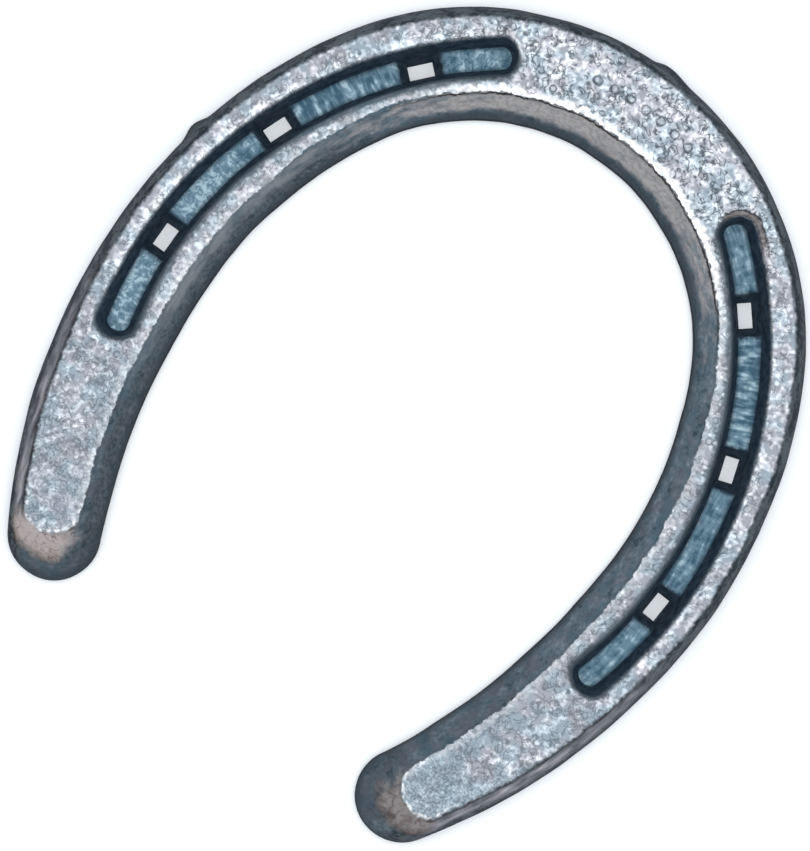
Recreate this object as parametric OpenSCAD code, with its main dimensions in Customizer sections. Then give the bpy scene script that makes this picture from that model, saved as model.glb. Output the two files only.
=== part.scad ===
// Front horseshoe, size 0, drop forged in one piece: a creased steel bar with six punched nail holes.
// It lies with its hoof face down on z = 0 and its creased ground face up. The toe points to +Y.

/* [Bar] */
// Thickness of the bar, from hoof face to ground face
bar_t = 8; // [7:0.5:10]
// Width of the bar (the web) round the toe and along the branches
web_w = 19.6; // [18.5:0.1:21]
// Width of the bar at the tip of each heel
heel_w = 16.2; // [15:0.1:18]
// Radius that rounds the edges of the hoof face
hoof_edge_r = 0.9; // [0.5:0.1:1.5]

/* [Line of one branch] */
// Length of the toe curve, from the middle of the toe
toe_len = 50.4; // [48:0.1:52]
// Radius of the toe curve
toe_r = 47.8; // [47:0.1:49]
// Length of the quarter curve that follows the toe
quarter_len = 41.9; // [40:0.1:44]
// Radius of the quarter curve
quarter_r = 79.1; // [77:0.1:81]
// Length of the heel curve that follows the quarter
heel_len = 56; // [54:0.1:58]
// Radius of the heel curve
heel_r = 113.2; // [110:0.1:117]

/* [Bevels] */
// Inset of the ground face along the outer edge
outer_bevel_w = 2; // [1.5:0.05:3]
// Inset of the ground face along the outer edge at the heels
outer_bevel_heel_w = 2.65; // [2:0.05:3.5]
// Inset of the ground face along the inner edge at the toe
inner_bevel_toe_w = 4.3; // [3.5:0.05:5.2]
// Inset of the ground face along the inner edge of the branches
inner_bevel_w = 3.6; // [3:0.05:4.2]
// Length of the rolled heel, from the end of the ground face to the tip
heel_roll_len = 8; // [7:0.1:9.5]

/* [Crease] */
// Radius of the crease's middle line
crease_r = 72.7; // [72:0.1:73.5]
// How far past the shoe's middle line the crease's own centre lies
crease_centre_x = 19.6; // [19:0.1:20]
// How far behind the middle of the toe the crease's own centre lies
crease_centre_back = 63.3; // [62.8:0.1:63.8]
// Width of the crease at the ground face
crease_mouth_w = 6.8; // [6:0.1:7]
// Width of the crease's floor
crease_floor_w = 3.9; // [3.2:0.1:4.4]
// Depth of the crease
crease_depth = 5; // [4:0.5:5.5]
// Length of the crease's rounded ends at the ground face
crease_mouth_tip_l = 2.7; // [2.4:0.1:3.4]
// Length of the crease's blunter ends at its floor
crease_floor_tip_l = 1.6; // [0.8:0.1:2]
// Direction of the crease's toe end, seen from its own centre
crease_toe_angle = 52.1; // [50:0.1:53]
// Direction of the crease's heel end, seen from its own centre
crease_heel_angle = -14.8; // [-16:0.1:-13]

/* [Nail holes] */
// Nail holes in each branch
holes_per_branch = 3; // [2:1:3]
// Spacing of the nail holes along the crease
hole_pitch = 27; // [26:0.5:28]
// Direction of the hole nearest the toe, seen from the crease's own centre
toe_hole_angle = 40.9; // [39:0.1:42]
// Length of a nail hole at the hoof face, along the crease
hole_l = 4.4; // [3.8:0.1:4.8]
// Width of a nail hole at the hoof face, across the crease
hole_w = 2.4; // [2.2:0.1:3]
// Length of the punched seat for the nail's head
seat_l = 8.2; // [7:0.1:9]
// Width of the punched seat for the nail's head
seat_w = 4.6; // [4:0.1:5.5]
// Depth below the ground face at which the seat has its full size
seat_depth = 4.4; // [3.5:0.1:5]
// How far the hole nearest the toe leans inward, from its seat to the hoof face
toe_hole_lean = 0.4; // [0:0.1:1]

/* [Toe marks] */
// Round punch marks in a row on the toe
mark_count = 7; // [3:2:9]
// Spacing of the punch marks
mark_pitch = 3.2; // [2.6:0.1:4]
// Diameter of a punch mark at the ground face
mark_d = 1.6; // [1:0.1:2]
// Depth of a punch mark
mark_depth = 0.3; // [0.1:0.1:0.5]
// How far the row of marks lies outside the bar's middle line
mark_offset = 1.4; // [0:0.1:2.5]

/* [Hidden] */
$fn = 64;

STEEL = [0.66, 0.68, 0.72];

// The bar's middle line in one branch: arcs that run into each other, each [length, radius]
ARCS = [[toe_len, toe_r], [quarter_len, quarter_r], [heel_len, heel_r]];
branch_len = toe_len + quarter_len + heel_len;

// Stations along a branch, and steps in a quarter of a rounded end, in the hoof face's rounded edge,
// up a bevel and along a crease
STATIONS = 36;
TIP_STEPS = 9;
EDGE_STEPS = 3;
BEVEL_STEPS = 6;
CREASE_STEPS = 30;

// Directions of the points in a quarter of a rounded end, half a step clear of its middle and its side
TIP_ANGLES = [for (k = [0 : TIP_STEPS - 1]) 90 * (k + 0.5) / TIP_STEPS];

// Stretches of the branch, [from, to], over which the bar changes
TAPER_SPAN = [102, branch_len];
OUTER_BEVEL_SPAN = [92, 118];
INNER_BEVEL_SPAN = [20, 50];
ROLL_SPAN = [110, 144];

// How quickly the web narrows, and how rounded the bevels are along the bar and at the rolled heel
TAPER_POWER = 1.5;
BEVEL_POWER = 1.6;
ROLL_POWER = 2.2;

// Length of the rounded end of the ground face
GROUND_TIP_L = 3.9;

// Cutters pass this far beyond the faces that they open
OVERCUT = 1;

function smooth_step(t) = let (c = min(1, max(0, t))) c * c * (3 - 2 * c);
function share(s, span) = (s - span[0]) / (span[1] - span[0]);
function blend(a, b, t) = a + (b - a) * t;

// Place and heading [x, y, heading] on the middle line at distance s from the toe, which is at [0, 0]
function on_line(s, i = 0, from = [0, 0], heading = 0) =
    let (
        last = i == len(ARCS) - 1,
        step = last ? s : min(s, ARCS[i][0]),
        r = ARCS[i][1],
        turned = heading + step / r * 180 / PI,
        to = from + r * [sin(turned) - sin(heading), cos(turned) - cos(heading)]
    )
    last || s <= ARCS[i][0] ? [to.x, to.y, turned] : on_line(s - step, i + 1, to, turned);

// The shoe is centred between the front of its toe and the back of its heels
toe_y = -(web_w / 2 + on_line(branch_len).y - heel_w / 2) / 2;

// A point of the right branch, set off from the middle line by `out` and along it by `ahead`
function off_line(s, out, ahead = 0) =
    let (p = on_line(s), h = p[2])
    [p.x + out * sin(h) + ahead * cos(h), p.y + toe_y + out * cos(h) - ahead * sin(h)];

function half_web(s) =
    blend(web_w, heel_w, pow(max(0, share(s, TAPER_SPAN)), TAPER_POWER)) / 2;
function outer_bevel(s) =
    blend(outer_bevel_w, outer_bevel_heel_w, smooth_step(share(s, OUTER_BEVEL_SPAN)));
function inner_bevel(s) =
    blend(inner_bevel_toe_w, inner_bevel_w, smooth_step(share(s, INNER_BEVEL_SPAN)));
function roundness(s) = blend(BEVEL_POWER, ROLL_POWER, smooth_step(share(s, ROLL_SPAN)));

// Levels of the bar, each [height, inset from the hoof face's rounded edge, share of the bevel's height]
LEVELS = concat(
    [for (i = [0 : EDGE_STEPS]) let (a = 90 * i / EDGE_STEPS)
        [hoof_edge_r * (1 - cos(a)), hoof_edge_r * (1 - sin(a)), 0]],
    [for (i = [1 : BEVEL_STEPS]) let (rise = i / BEVEL_STEPS)
        [blend(hoof_edge_r, bar_t, rise), 0, rise]]
);

// Where a level's rounded heel tip starts, and how long that tip is
function tip_start(level) =
    let (ground_start = branch_len + heel_w / 2 - heel_roll_len - GROUND_TIP_L)
    blend(branch_len, ground_start, pow(level[2], ROLL_POWER));
function tip_len(level) =
    blend(heel_w / 2, GROUND_TIP_L, pow(level[2], ROLL_POWER)) - level[1];

function outer_out(s, level) =
    half_web(s) - level[1] - outer_bevel(s) * pow(level[2], roundness(s));
function inner_out(s, level) =
    -half_web(s) + level[1] + inner_bevel(s) * pow(level[2], roundness(s));

// Outline of the right branch at one level: outer edge from the toe, heel tip, inner edge to the toe
function branch_outline(level) =
    let (
        end = tip_start(level),
        outer_w = outer_out(end, level),
        inner_w = inner_out(end, level)
    )
    concat(
        [for (i = [0 : STATIONS]) let (s = end * i / STATIONS) off_line(s, outer_out(s, level))],
        [for (a = TIP_ANGLES) off_line(end, outer_w * cos(a), tip_len(level) * sin(a))],
        [for (a = TIP_ANGLES) off_line(end, inner_w * sin(a), tip_len(level) * cos(a))],
        [for (i = [STATIONS : -1 : 0]) let (s = end * i / STATIONS) off_line(s, inner_out(s, level))]
    );

// The whole outline: up the left branch to the toe, round the right branch, and back down the left
function bar_outline(level) =
    let (right = branch_outline(level), n = len(right))
    [for (p = concat(
        [for (j = [n / 2 - 1 : -1 : 1]) [-right[j].x, right[j].y]],
        right,
        [for (j = [n - 2 : -1 : n / 2]) [-right[j].x, right[j].y]]
    )) [p.x, p.y, level[0]]];

// A solid through outlines from the lowest to the highest. Each has n points that run clockwise seen
// from above, and its point j lies straight across the shape from its point n - 1 - j.
module loft(outlines) {
    n = len(outlines[0]);
    top = len(outlines) - 1;
    walls = [for (v = [0 : top - 1], j = [0 : n - 1]) let (k = (j + 1) % n)
        [v * n + j, v * n + k, (v + 1) * n + k, (v + 1) * n + j]];
    lowest = [for (j = [0 : n / 2 - 2]) [n - 1 - j, n - 2 - j, j + 1, j]];
    highest = [for (q = lowest) [for (i = [3 : -1 : 0]) top * n + q[i]]];
    polyhedron([for (o = outlines) each o], concat(walls, lowest, highest), convexity = 6);
}

module bar() {
    loft([for (level = LEVELS) bar_outline(level)]);
}

// Shapes inside at_crease() are placed round the centre of the right branch's crease
module at_crease() {
    translate([-crease_centre_x, toe_y - crease_centre_back, 0]) children();
}

// Points on an end of the crease at direction `at`, for turns measured from straight across it
function crease_tip(at, turns, half_w, tip_l) =
    [for (t = turns)
        (crease_r + half_w * cos(t)) * [cos(at), sin(at)] + tip_l * sin(t) * [-sin(at), cos(at)]];
function crease_edge(r) =
    [for (i = [0 : CREASE_STEPS]) let (a = blend(crease_toe_angle, crease_heel_angle, i / CREASE_STEPS))
        r * [cos(a), sin(a)]];

// Outline of the crease: out from the tip at the toe, round the tip at the heel, and back
function crease_outline(half_w, tip_l, z) =
    let (inner = crease_edge(crease_r - half_w), toe = crease_toe_angle, heel = crease_heel_angle)
    [for (p = concat(
        crease_tip(toe, [for (a = TIP_ANGLES) 90 - a], half_w, tip_l),
        crease_edge(crease_r + half_w),
        crease_tip(heel, [for (a = TIP_ANGLES) -a], half_w, tip_l),
        crease_tip(heel, [for (a = TIP_ANGLES) -90 - a], half_w, tip_l),
        [for (i = [CREASE_STEPS : -1 : 0]) inner[i]],
        crease_tip(toe, [for (a = TIP_ANGLES) 180 - a], half_w, tip_l)
    )) [p.x, p.y, z]];

// The crease: a groove with sloping walls and rounded ends, bent to a single arc
module crease() {
    above = 1 + OVERCUT / crease_depth;
    at_crease()
        loft([
            crease_outline(crease_floor_w / 2, crease_floor_tip_l, bar_t - crease_depth),
            crease_outline(
                blend(crease_floor_w, crease_mouth_w, above) / 2,
                blend(crease_floor_tip_l, crease_mouth_tip_l, above),
                bar_t + OVERCUT
            )
        ]);
}

// A four-sided punch that widens from the nail hole to the nail head's seat, and goes straight up from
// there. Below the seat it leans by `lean`.
module punch(lean) {
    seat_z = bar_t - seat_depth;
    function corners(z) =
        let (
            up = min(1, z / seat_z),
            w = blend(hole_w, seat_w, up) / 2,
            l = blend(hole_l, seat_l, up) / 2,
            x = -lean * (1 - up)
        )
        [[x - w, -l, z], [x - w, l, z], [x + w, l, z], [x + w, -l, z]];
    loft([corners(-OVERCUT), corners(seat_z), corners(bar_t + OVERCUT)]);
}

// The nail holes of the right branch, evenly spaced along the crease from the toe
module nail_holes() {
    pitch_angle = hole_pitch / crease_r * 180 / PI;
    at_crease()
        for (i = [0 : holes_per_branch - 1])
            rotate([0, 0, toe_hole_angle - i * pitch_angle])
                translate([crease_r, 0, 0])
                    punch(i == 0 ? toe_hole_lean : 0);
}

// A row of plain round punch marks along the toe
module toe_marks() {
    ball_r = (pow(mark_d / 2, 2) + pow(mark_depth, 2)) / (2 * mark_depth);
    row_r = toe_r + mark_offset;
    for (i = [0 : mark_count - 1]) {
        a = (i - (mark_count - 1) / 2) * mark_pitch / row_r * 180 / PI;
        translate([row_r * sin(a), toe_y - toe_r + row_r * cos(a), bar_t + ball_r - mark_depth])
            sphere(r = ball_r);
    }
}

module horseshoe() {
    color(STEEL)
        difference() {
            bar();
            for (side = [0, 1])
                mirror([side, 0, 0]) {
                    crease();
                    nail_holes();
                }
            toe_marks();
        }
}

horseshoe();
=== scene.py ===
"""A drop-forged front horseshoe on a pale floor, ground face up, seen from straight above."""
import math
from functools import reduce
from itertools import product

import bpy
import numpy as np
from mathutils import Euler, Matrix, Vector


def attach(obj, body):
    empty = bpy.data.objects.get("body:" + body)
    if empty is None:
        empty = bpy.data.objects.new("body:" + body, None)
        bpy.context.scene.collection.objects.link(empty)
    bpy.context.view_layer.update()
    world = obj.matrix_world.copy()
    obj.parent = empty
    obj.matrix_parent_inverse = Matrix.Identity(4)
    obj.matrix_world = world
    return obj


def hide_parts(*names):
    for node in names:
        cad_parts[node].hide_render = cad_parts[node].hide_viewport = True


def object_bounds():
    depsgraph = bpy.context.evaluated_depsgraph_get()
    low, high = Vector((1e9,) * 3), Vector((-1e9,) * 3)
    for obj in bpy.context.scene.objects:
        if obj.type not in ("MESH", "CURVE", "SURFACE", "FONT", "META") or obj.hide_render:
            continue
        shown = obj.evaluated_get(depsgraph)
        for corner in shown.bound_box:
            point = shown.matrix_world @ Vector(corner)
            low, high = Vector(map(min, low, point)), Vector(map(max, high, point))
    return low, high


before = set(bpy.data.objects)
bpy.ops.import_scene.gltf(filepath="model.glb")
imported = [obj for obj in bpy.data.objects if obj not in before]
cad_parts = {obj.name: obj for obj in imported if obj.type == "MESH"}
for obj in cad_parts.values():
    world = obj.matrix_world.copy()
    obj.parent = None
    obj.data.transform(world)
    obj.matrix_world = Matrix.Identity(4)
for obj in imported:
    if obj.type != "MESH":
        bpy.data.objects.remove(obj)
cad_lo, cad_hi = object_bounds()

MM = 0.001

# ---------------------------------------------------------------- sizes, in millimetres, as in the CAD model
BAR_T = (cad_hi.z - cad_lo.z) / MM
WEB_W = 19.6
HEEL_W = 16.2
HOOF_EDGE_R = 0.9
TOE_Y = cad_hi.y / MM - WEB_W / 2
ARCS = ((50.4, 47.8), (41.9, 79.1), (56.0, 113.2))  # length and radius of each arc of the middle line
BRANCH_L = sum(length for length, _ in ARCS)

OUTER_BEVEL, OUTER_BEVEL_HEEL = 2.0, 2.65
INNER_BEVEL_TOE, INNER_BEVEL = 4.3, 3.6
HEEL_ROLL_L = 8.0
GROUND_TIP_L = 3.9
TAPER_FROM, TAPER_POWER = 102, 1.5
BEVEL_POWER, ROLL_POWER = 1.6, 2.2
GATHER_FROM = 116  # distance from the toe where the rings start to draw back to their rounded heel tips

CREASE_R = 72.7
CREASE_CENTRE = np.array([-19.6, TOE_Y - 63.3])
CREASE_MOUTH_W, CREASE_FLOOR_W, CREASE_DEPTH = 6.8, 3.9, 5.0
CREASE_MOUTH_TIP, CREASE_FLOOR_TIP = 2.7, 1.6
CREASE_TOE, CREASE_HEEL = math.radians(52.1), math.radians(-14.8)

HOLE_PITCH = 27 / CREASE_R
HOLE_ANGLES = [math.radians(40.9) - i * HOLE_PITCH for i in range(3)]
HOLE_LEANS = (0.4, 0.0, 0.0)
HOLE_L, HOLE_W = 4.4, 2.4
SEAT_L, SEAT_W, SEAT_DEPTH = 8.2, 4.6, 4.4

MARK_COUNT, MARK_PITCH, MARK_D, MARK_DEPTH, MARK_OUT = 7, 3.2, 1.6, 0.3, 1.4

LIP_RISE = 0.12  # the raised lip round a crease's toe end
SAG_DEPTH = 0.35  # the soft edge round its heel end
HOOF_FACE_WEAR = 0.3  # share of the relief that the hoof face keeps

# ---------------------------------------------------------------- rows and columns of the surface grid
# The top is one grid of quads: columns run from the left heel to the right, rows from the outer edge in.
RIM_ROWS = 13  # rings round the outside, from the hoof face's edge up to the flat ground face
LAND_ROWS = 8  # between that and a crease
WALL_ROWS = 10  # down a crease's wall
FLOOR_ROWS = 14  # across a crease's floor
PUNCH_ROWS = 4  # from the crease's floor down a nail hole
ROWS = 2 * (RIM_ROWS + LAND_ROWS + WALL_ROWS) + FLOOR_ROWS

TOE_COLS = 58  # from the middle of the toe to the crease
TIP_COLS = 13  # round an end of the crease
SEAT_COLS = 16  # along a nail head's seat, with its nail hole
GAP_COLS = (18, 35, 35, 22)  # before, between and after the seats
HEEL_COLS = 58  # from the crease to the heel's rounded tip
END_COLS = 16  # round the heel's tip
EASE_COLS = 30  # over which the hoof face's rows leave the line of the nail holes
FREE_COLS = 10  # before the heel's tip, where those rows are left to spread on their own
RELAX_ROUNDS = 1500

crease_start = TOE_COLS
straight_start = crease_start + TIP_COLS
seat_starts = [straight_start + sum(GAP_COLS[:i + 1]) + i * SEAT_COLS for i in range(3)]
straight_end = seat_starts[-1] + SEAT_COLS + GAP_COLS[-1]
crease_end = straight_end + TIP_COLS
tip_start_col = crease_end + HEEL_COLS
HALF = tip_start_col + END_COLS
COLS = 2 * HALF

mouth_row = RIM_ROWS + LAND_ROWS
floor_row = mouth_row + WALL_ROWS
hole_row = floor_row + PUNCH_ROWS


# ---------------------------------------------------------------- small helpers
def smooth_step(t):
    t = np.clip(t, 0, 1)
    return t * t * (3 - 2 * t)


def blend(a, b, t):
    return a + (b - a) * t


LATTICE = np.random.default_rng(5).uniform(-1, 1, (64, 64, 64))


def noise(points, size, shift=0.0):
    """Smooth random values from -1 to 1 at points in millimetres, with bumps about `size` across."""
    q = points / size + shift
    base = np.floor(q).astype(int)
    t = q - base
    t = t * t * (3 - 2 * t)
    total = np.zeros(points.shape[:-1])
    for corner in product((0, 1), repeat=3):
        weight = np.prod(np.where(corner, t, 1 - t), axis=-1)
        i = (base + corner) % 64
        total += weight * LATTICE[i[..., 0], i[..., 1], i[..., 2]]
    return total


def ripple(s, size, shift):
    """Smooth random values along a line."""
    s = np.asarray(s, float)
    return noise(np.stack([s, np.zeros_like(s), np.zeros_like(s)], -1), size, shift)


# ---------------------------------------------------------------- the bar's shape
def on_line(s):
    """Place and heading on the right branch's middle line, at distance s from the toe."""
    s = np.asarray(s, float)
    x, y, heading = np.zeros_like(s), np.full_like(s, TOE_Y), np.zeros_like(s)
    start = 0.0
    for i, (length, r) in enumerate(ARCS):
        step = np.clip(s - start, 0, length if i < len(ARCS) - 1 else None)
        turned = heading + step / r
        x = x + r * (np.sin(turned) - np.sin(heading))
        y = y + r * (np.cos(turned) - np.cos(heading))
        heading = turned
        start += length
    return x, y, heading


def off_line(s, out, ahead=0.0):
    """Points set off outward from the middle line, and along it. A negative s is on the left branch."""
    x, y, h = on_line(np.abs(s))
    side = np.where(np.asarray(s) < 0, -1, 1)
    px = x + out * np.sin(h) + ahead * np.cos(h)
    py = y + out * np.cos(h) - ahead * np.sin(h)
    return np.stack([side * px, py], -1)


def bar_place(points):
    """The reverse of off_line: signed distance along the middle line, and offset outward from it."""
    x, y = np.abs(points[..., 0]), points[..., 1]
    s, out = np.zeros_like(x), np.zeros_like(x)
    cx, cy, heading, start = 0.0, TOE_Y - ARCS[0][1], 0.0, 0.0
    for i, (length, r) in enumerate(ARCS):
        turned = np.arctan2(x - cx, y - cy)
        here = turned >= heading
        s[here] = (start + r * (turned - heading))[here]
        out[here] = (np.hypot(x - cx, y - cy) - r)[here]
        heading += length / r
        start += length
        if i + 1 < len(ARCS):
            cx += (r - ARCS[i + 1][1]) * math.sin(heading)
            cy += (r - ARCS[i + 1][1]) * math.cos(heading)
    return np.where(points[..., 0] < 0, -s, s), out


def half_web(s):
    t = np.maximum(0, (np.abs(s) - TAPER_FROM) / (BRANCH_L - TAPER_FROM))
    return blend(WEB_W, HEEL_W, t ** TAPER_POWER) / 2


def outer_bevel(s):
    return blend(OUTER_BEVEL, OUTER_BEVEL_HEEL, smooth_step((np.abs(s) - 92) / 26))


def inner_bevel(s):
    return blend(INNER_BEVEL_TOE, INNER_BEVEL, smooth_step((np.abs(s) - 20) / 30))


def roundness(s):
    return blend(BEVEL_POWER, ROLL_POWER, smooth_step((np.abs(s) - 110) / 34))


def rim_levels():
    """Height, share of the bevel's height and extra inset of each ring, from the hoof face up."""
    levels = []
    for a in np.radians((0, 30, 60)):
        levels.append((HOOF_EDGE_R * (1 - math.cos(a)), 0.0, HOOF_EDGE_R * (1 - math.sin(a))))
    wall_top = 0.93
    for t in np.linspace(0, wall_top, 8)[:-1]:
        levels.append((blend(HOOF_EDGE_R, BAR_T, t), t, 0.0))
    edge_r = 0.4
    for t in np.linspace(0, 1, RIM_ROWS - 9):
        rise = 1 - (1 - wall_top) * (1 - t) ** 2
        levels.append((blend(HOOF_EDGE_R, BAR_T, rise), rise, edge_r * t ** 2))
    return levels


RIM = rim_levels()


def flash(s, rise):
    """Two stubs of forging flash on the outer edge: a low one at the toe and one on the left branch."""
    toe = smooth_step((s + 3.6) / 2.4) * smooth_step((3.6 - s) / 4.2)
    left = smooth_step((s + 80.2) / 3.3) * smooth_step((-73.9 - s) / 3.0)
    return (0.65 * toe + 0.85 * left) * np.exp(-((rise - 0.12) / 0.3) ** 2)


def rim_out(s, level, outer):
    """How far outward of the middle line a ring runs along the outer or the inner edge."""
    _, rise, extra = level
    share = rise ** roundness(s)
    worn = 0.10 * ripple(s, 9, 3.1 + outer) + 0.05 * ripple(s, 3.5, 9.7 + outer)
    ragged = (0.16 * ripple(s, 4.5, 17.3 + outer) + 0.10 * ripple(s, 1.7, 23.9 + outer)) * rise ** 4
    if outer:
        return half_web(s) - extra - outer_bevel(s) * share + flash(s, rise) + worn - ragged
    return -half_web(s) + extra + inner_bevel(s) * share - worn + ragged


def heel_tip(level):
    """Where a ring's rounded heel tip starts, and how long it is."""
    _, rise, extra = level
    share = rise ** ROLL_POWER
    ground_start = BRANCH_L + HEEL_W / 2 - HEEL_ROLL_L - GROUND_TIP_L
    return blend(BRANCH_L, ground_start, share), blend(HEEL_W / 2, GROUND_TIP_L, share) - extra


# ---------------------------------------------------------------- the crease and the nail holes
def in_crease(angle, across, along=0.0):
    """Points placed by direction from the crease's centre, then across and along the crease."""
    r = CREASE_R + across
    x = CREASE_CENTRE[0] + r * np.cos(angle) - along * np.sin(angle)
    y = CREASE_CENTRE[1] + r * np.sin(angle) + along * np.cos(angle)
    return np.stack([x, y], -1)


def crease_levels():
    """Height and width of each ring down the crease's wall."""
    slope = (CREASE_MOUTH_W - CREASE_FLOOR_W) / 2 / CREASE_DEPTH
    floor_z = BAR_T - CREASE_DEPTH
    heights = (8.0, 7.93, 7.7, 7.1, 6.4, 5.7, 5.0, 4.3, 3.6, 3.15, 3.0)
    rounding = (0.42, 0.14, 0.03, 0, 0, 0, 0, 0, 0, -0.06, -0.25)
    levels = []
    for z, extra in zip(heights, rounding):
        z = z - 8.0 + BAR_T
        levels.append((z, CREASE_FLOOR_W / 2 + slope * (z - floor_z) + extra, extra))
    return levels


CREASE = crease_levels()


def punch_size(z):
    """Half the width and half the length of the nail punch at height z."""
    up = min(1.0, z / (BAR_T - SEAT_DEPTH))
    return blend(HOLE_W, SEAT_W, up) / 2, blend(HOLE_L, SEAT_L, up) / 2


def nearest_s(points):
    """Distance along the middle line to the places nearest to these points."""
    s = np.linspace(0, BRANCH_L, 6000)
    x, y, _ = on_line(s)
    gaps = (points[:, None, 0] - x) ** 2 + (points[:, None, 1] - y) ** 2
    return s[np.argmin(gaps, axis=1)]


def seat_anchors(z):
    """Columns and directions from the crease's centre that line the grid up with the nail holes."""
    cols, angles = [straight_start], [CREASE_TOE]
    _, half_l = punch_size(z)
    for first, angle in zip(seat_starts, HOLE_ANGLES):
        cols += [first, first + PUNCH_ROWS, first + SEAT_COLS - PUNCH_ROWS, first + SEAT_COLS]
        angles += [angle + a / CREASE_R for a in (half_l, HOLE_L / 2 + 0.1, -HOLE_L / 2 - 0.1, -half_l)]
    return cols + [straight_end], angles + [CREASE_HEEL]


# ---------------------------------------------------------------- the grid
def column_distances():
    """Nominal distance along the middle line of each column right of the toe, lined up with the crease."""
    cols, angles = seat_anchors(BAR_T)
    s = nearest_s(in_crease(np.array(angles), 0.0))
    cols = [0, crease_start] + cols + [crease_end, tip_start_col]
    tip_l = CREASE_MOUTH_TIP - 0.5
    s = [0.0, s[0] - tip_l] + list(s) + [s[-1] + tip_l, BRANCH_L]
    return np.interp(np.arange(tip_start_col + 1), cols, s)


def rim_ring(grid, fixed, k, s_right):
    """Places ring k of the rim on the grid."""
    level = RIM[k]
    tip_at, tip_l = heel_tip(level)
    s = s_right - (BRANCH_L - tip_at) * smooth_step((s_right - GATHER_FROM) / (BRANCH_L - GATHER_FROM))
    s = np.concatenate([-s[:0:-1], s])
    cols = np.arange(COLS // 2 - tip_start_col, COLS // 2 + tip_start_col + 1)
    grid[cols, k, :2] = off_line(s, rim_out(s, level, 1))
    grid[cols, ROWS - k, :2] = off_line(s, rim_out(s, level, 0))
    # Round each heel: along the outer row, down the end column and back along the inner row
    steps = END_COLS - k
    path = [(HALF + tip_start_col + i, k) for i in range(1, steps + 1)]
    path += [(COLS - k, j) for j in range(k + 1, ROWS - k)]
    path += [(HALF + tip_start_col + i, ROWS - k) for i in range(steps, 0, -1)]
    turn = np.pi * np.arange(1, len(path) + 1) / (len(path) + 1)
    for side in (1, -1):
        end = side * tip_at
        out_w = rim_out(np.array(end), level, 1)
        in_w = -rim_out(np.array(end), level, 0)
        across = np.where(turn < np.pi / 2, out_w, in_w) * np.cos(turn)
        dent = 1 + 0.02 * ripple(turn * 8, 4, 31.7 + side)
        spots = off_line(np.full(len(path), end), across, tip_l * dent * np.sin(turn))
        for (i, j), spot in zip(path, spots):
            grid[i if side > 0 else COLS - i, j, :2] = spot
            fixed[i if side > 0 else COLS - i, j] = True
    grid[k:COLS - k + 1, (k, ROWS - k), 2] = level[0]
    grid[(k, COLS - k), k:ROWS - k + 1, 2] = level[0]
    fixed[cols, k] = fixed[cols, ROWS - k] = True


def crease_ring(grid, fixed, m, side):
    """Places ring m of a crease's wall on the grid."""
    z, half_w, extra = CREASE[m]
    tip_l = blend(CREASE_FLOOR_TIP, CREASE_MOUTH_TIP, (z - BAR_T + CREASE_DEPTH) / CREASE_DEPTH) + extra
    cols = np.arange(straight_start, straight_end + 1)
    angles = np.interp(cols, *seat_anchors(z))
    out_w, in_w = np.full(len(cols), half_w), np.full(len(cols), half_w)
    punch_w, _ = punch_size(z)
    for first, lean in zip(seat_starts, HOLE_LEANS):
        here = (cols >= first) & (cols <= first + SEAT_COLS)
        shift = lean * max(0, 1 - z / (BAR_T - SEAT_DEPTH))
        out_w[here], in_w[here] = max(half_w, punch_w - shift), max(half_w, punch_w + shift)
    s = angles * CREASE_R
    wavy = 0.07 * ripple(s, 5, 41.3 + side) + 0.04 * ripple(s, 2, 47.7 + side)
    top, bottom = mouth_row + m, ROWS - mouth_row - m
    put(grid, fixed, side, cols, top, in_crease(angles, out_w + wavy), z)
    put(grid, fixed, side, cols, bottom, in_crease(angles, -in_w + wavy), z)
    steps = TIP_COLS - m
    for angle, way, near, far in (
        (CREASE_TOE, 1, straight_start, crease_start + m),
        (CREASE_HEEL, -1, straight_end, crease_end - m),
    ):
        path = [(near - way * i, top) for i in range(1, steps + 1)]
        path += [(far, j) for j in range(top + 1, bottom)]
        path += [(near - way * i, bottom) for i in range(steps, 0, -1)]
        turn = np.pi * np.arange(1, len(path) + 1) / (len(path) + 1)
        spots = in_crease(np.full(len(path), angle), half_w * np.cos(turn), way * tip_l * np.sin(turn))
        for (i, j), spot in zip(path, spots):
            put(grid, fixed, side, np.array([i]), j, spot[None], z)


def put(grid, fixed, side, cols, row, spots, z):
    """Fixes grid points of one branch. `cols` count from the toe, and the left branch is mirrored."""
    at = HALF + side * cols
    grid[at, row, 0] = side * spots[:, 0]
    grid[at, row, 1] = spots[:, 1]
    grid[at, row, 2] = z
    fixed[at, row] = True


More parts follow.
